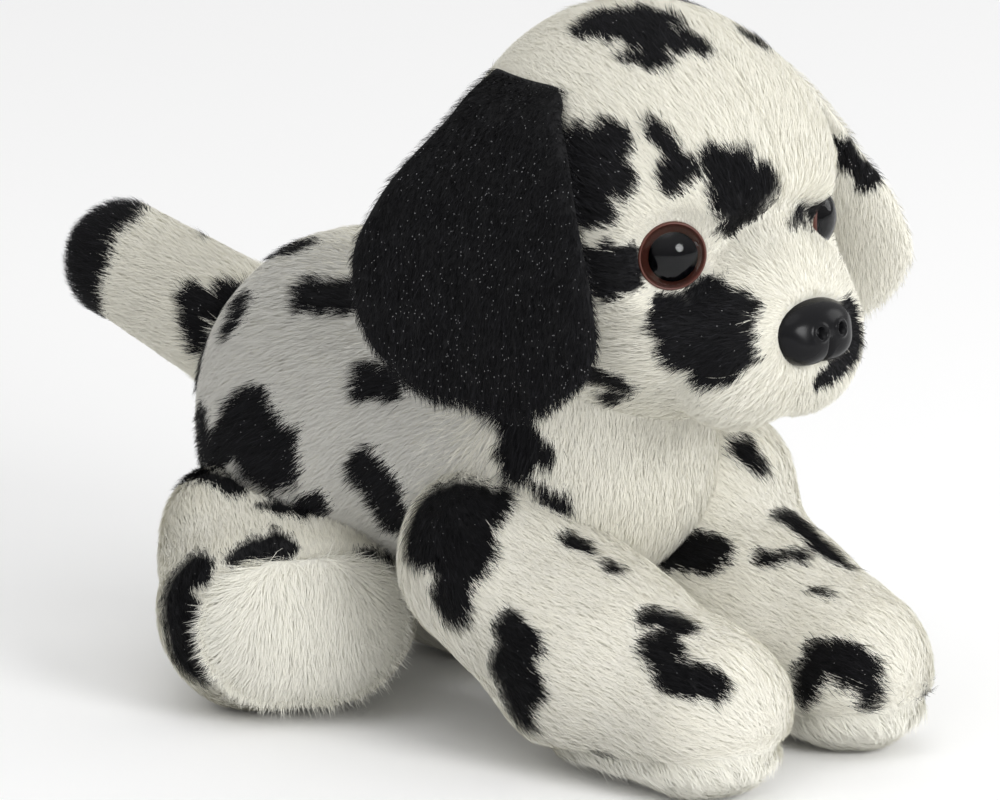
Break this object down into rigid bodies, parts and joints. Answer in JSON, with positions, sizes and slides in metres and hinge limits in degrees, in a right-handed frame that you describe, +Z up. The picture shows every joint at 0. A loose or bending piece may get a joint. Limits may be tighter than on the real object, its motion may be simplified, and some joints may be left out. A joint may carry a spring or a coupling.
{
  "type": "plush dog",
  "caption": "Soft toy spotted dog lying with its head up and front legs stretched forward; head, ears, legs and tail move.",
  "frame": {"origin": "on the ground under the middle of the whole toy", "axes": "+Z up, the dog faces -Y, +X is the dog's left side"},
  "size_m": [0.1425, 0.2654, 0.1915],
  "materials": {
    "fur_white": "soft short pile fur, warm white",
    "fur_black": "soft short pile fur, black",
    "sole_fur": "longer plain white pile",
    "stuffing": "polyester fibre filling",
    "eye_clear": "clear polished plastic dome",
    "eye_brown": "gloss reddish brown",
    "eye_black": "gloss black",
    "nose_plastic": "semi gloss moulded black",
    "washer": "plain moulded"
  },
  "bodies": {
    "torso": {"back_panel_left": "fur_white", "back_panel_right": "fur_white", "belly_panel": "fur_white", "torso_stuffing": "stuffing"},
    "head": {"head_side_left": "fur_white", "head_side_right": "fur_white", "head_back_panel": "fur_white", "chin_panel": "fur_white", "head_stuffing": "stuffing", "nose_button": "nose_plastic", "nose_washer": "washer", "eye_dome_left": "eye_clear", "iris_ring_left": "eye_brown", "eye_back_left": "eye_black", "eye_washer_left": "washer", "eye_dome_right": "eye_clear", "iris_ring_right": "eye_brown", "eye_back_right": "eye_black", "eye_washer_right": "washer"},
    "tail": {"tail_skin": "fur_white", "tail_stuffing": "stuffing"},
    "ear_left": {"ear_outer_left": "fur_white", "ear_lining_left": "fur_white"},
    "front_leg_left": {"front_leg_skin_left": "fur_white", "front_sole_left": "sole_fur", "front_leg_stuffing_left": "stuffing"},
    "hind_leg_left": {"hind_leg_skin_left": "fur_white", "hind_sole_left": "sole_fur", "hind_leg_stuffing_left": "stuffing"},
    "ear_right": {"ear_outer_right": "fur_black", "ear_lining_right": "fur_black"},
    "front_leg_right": {"front_leg_skin_right": "fur_white", "front_sole_right": "sole_fur", "front_leg_stuffing_right": "stuffing"},
    "hind_leg_right": {"hind_leg_skin_right": "fur_white", "hind_sole_right": "sole_fur", "hind_leg_stuffing_right": "stuffing"}
  },
  "joints": [
    {"name": "head_nod", "type": "hinge", "parent": "torso", "child": "head", "pos_m": [0, -0.05875, 0.1265], "axis": [1, 0, 0], "range_deg": [-20, 13]},
    {"name": "tail_wag", "type": "hinge", "parent": "torso", "child": "tail", "pos_m": [0, 0.07825, 0.085], "axis": [0, 0, 1], "range_deg": [-35, 35], "stiffness_Nm_per_rad": 0.01},
    {"name": "ear_left_lift", "type": "hinge", "parent": "head", "child": "ear_left", "pos_m": [0.0389, -0.05725, 0.1735], "axis": [0.1699, -0.9855, 0], "range_deg": [0, 100]},
    {"name": "front_leg_left_swing", "type": "hinge", "parent": "torso", "child": "front_leg_left", "pos_m": [0.03, -0.03975, 0.0485], "axis": [1, 0, 0], "range_deg": [-20, 35]},
    {"name": "hind_leg_left_swing", "type": "hinge", "parent": "torso", "child": "hind_leg_left", "pos_m": [0.028, 0.03925, 0.0325], "axis": [1, 0, 0], "range_deg": [-15, 25]},
    {"name": "ear_right_lift", "type": "hinge", "parent": "head", "child": "ear_right", "pos_m": [-0.0389, -0.05725, 0.1735], "axis": [0.1699, 0.9855, 0], "range_deg": [0, 100]},
    {"name": "front_leg_right_swing", "type": "hinge", "parent": "torso", "child": "front_leg_right", "pos_m": [-0.03, -0.03975, 0.0485], "axis": [1, 0, 0], "range_deg": [-20, 35]},
    {"name": "hind_leg_right_swing", "type": "hinge", "parent": "torso", "child": "hind_leg_right", "pos_m": [-0.028, 0.03925, 0.0325], "axis": [1, 0, 0], "range_deg": [-15, 25]}
  ]
}
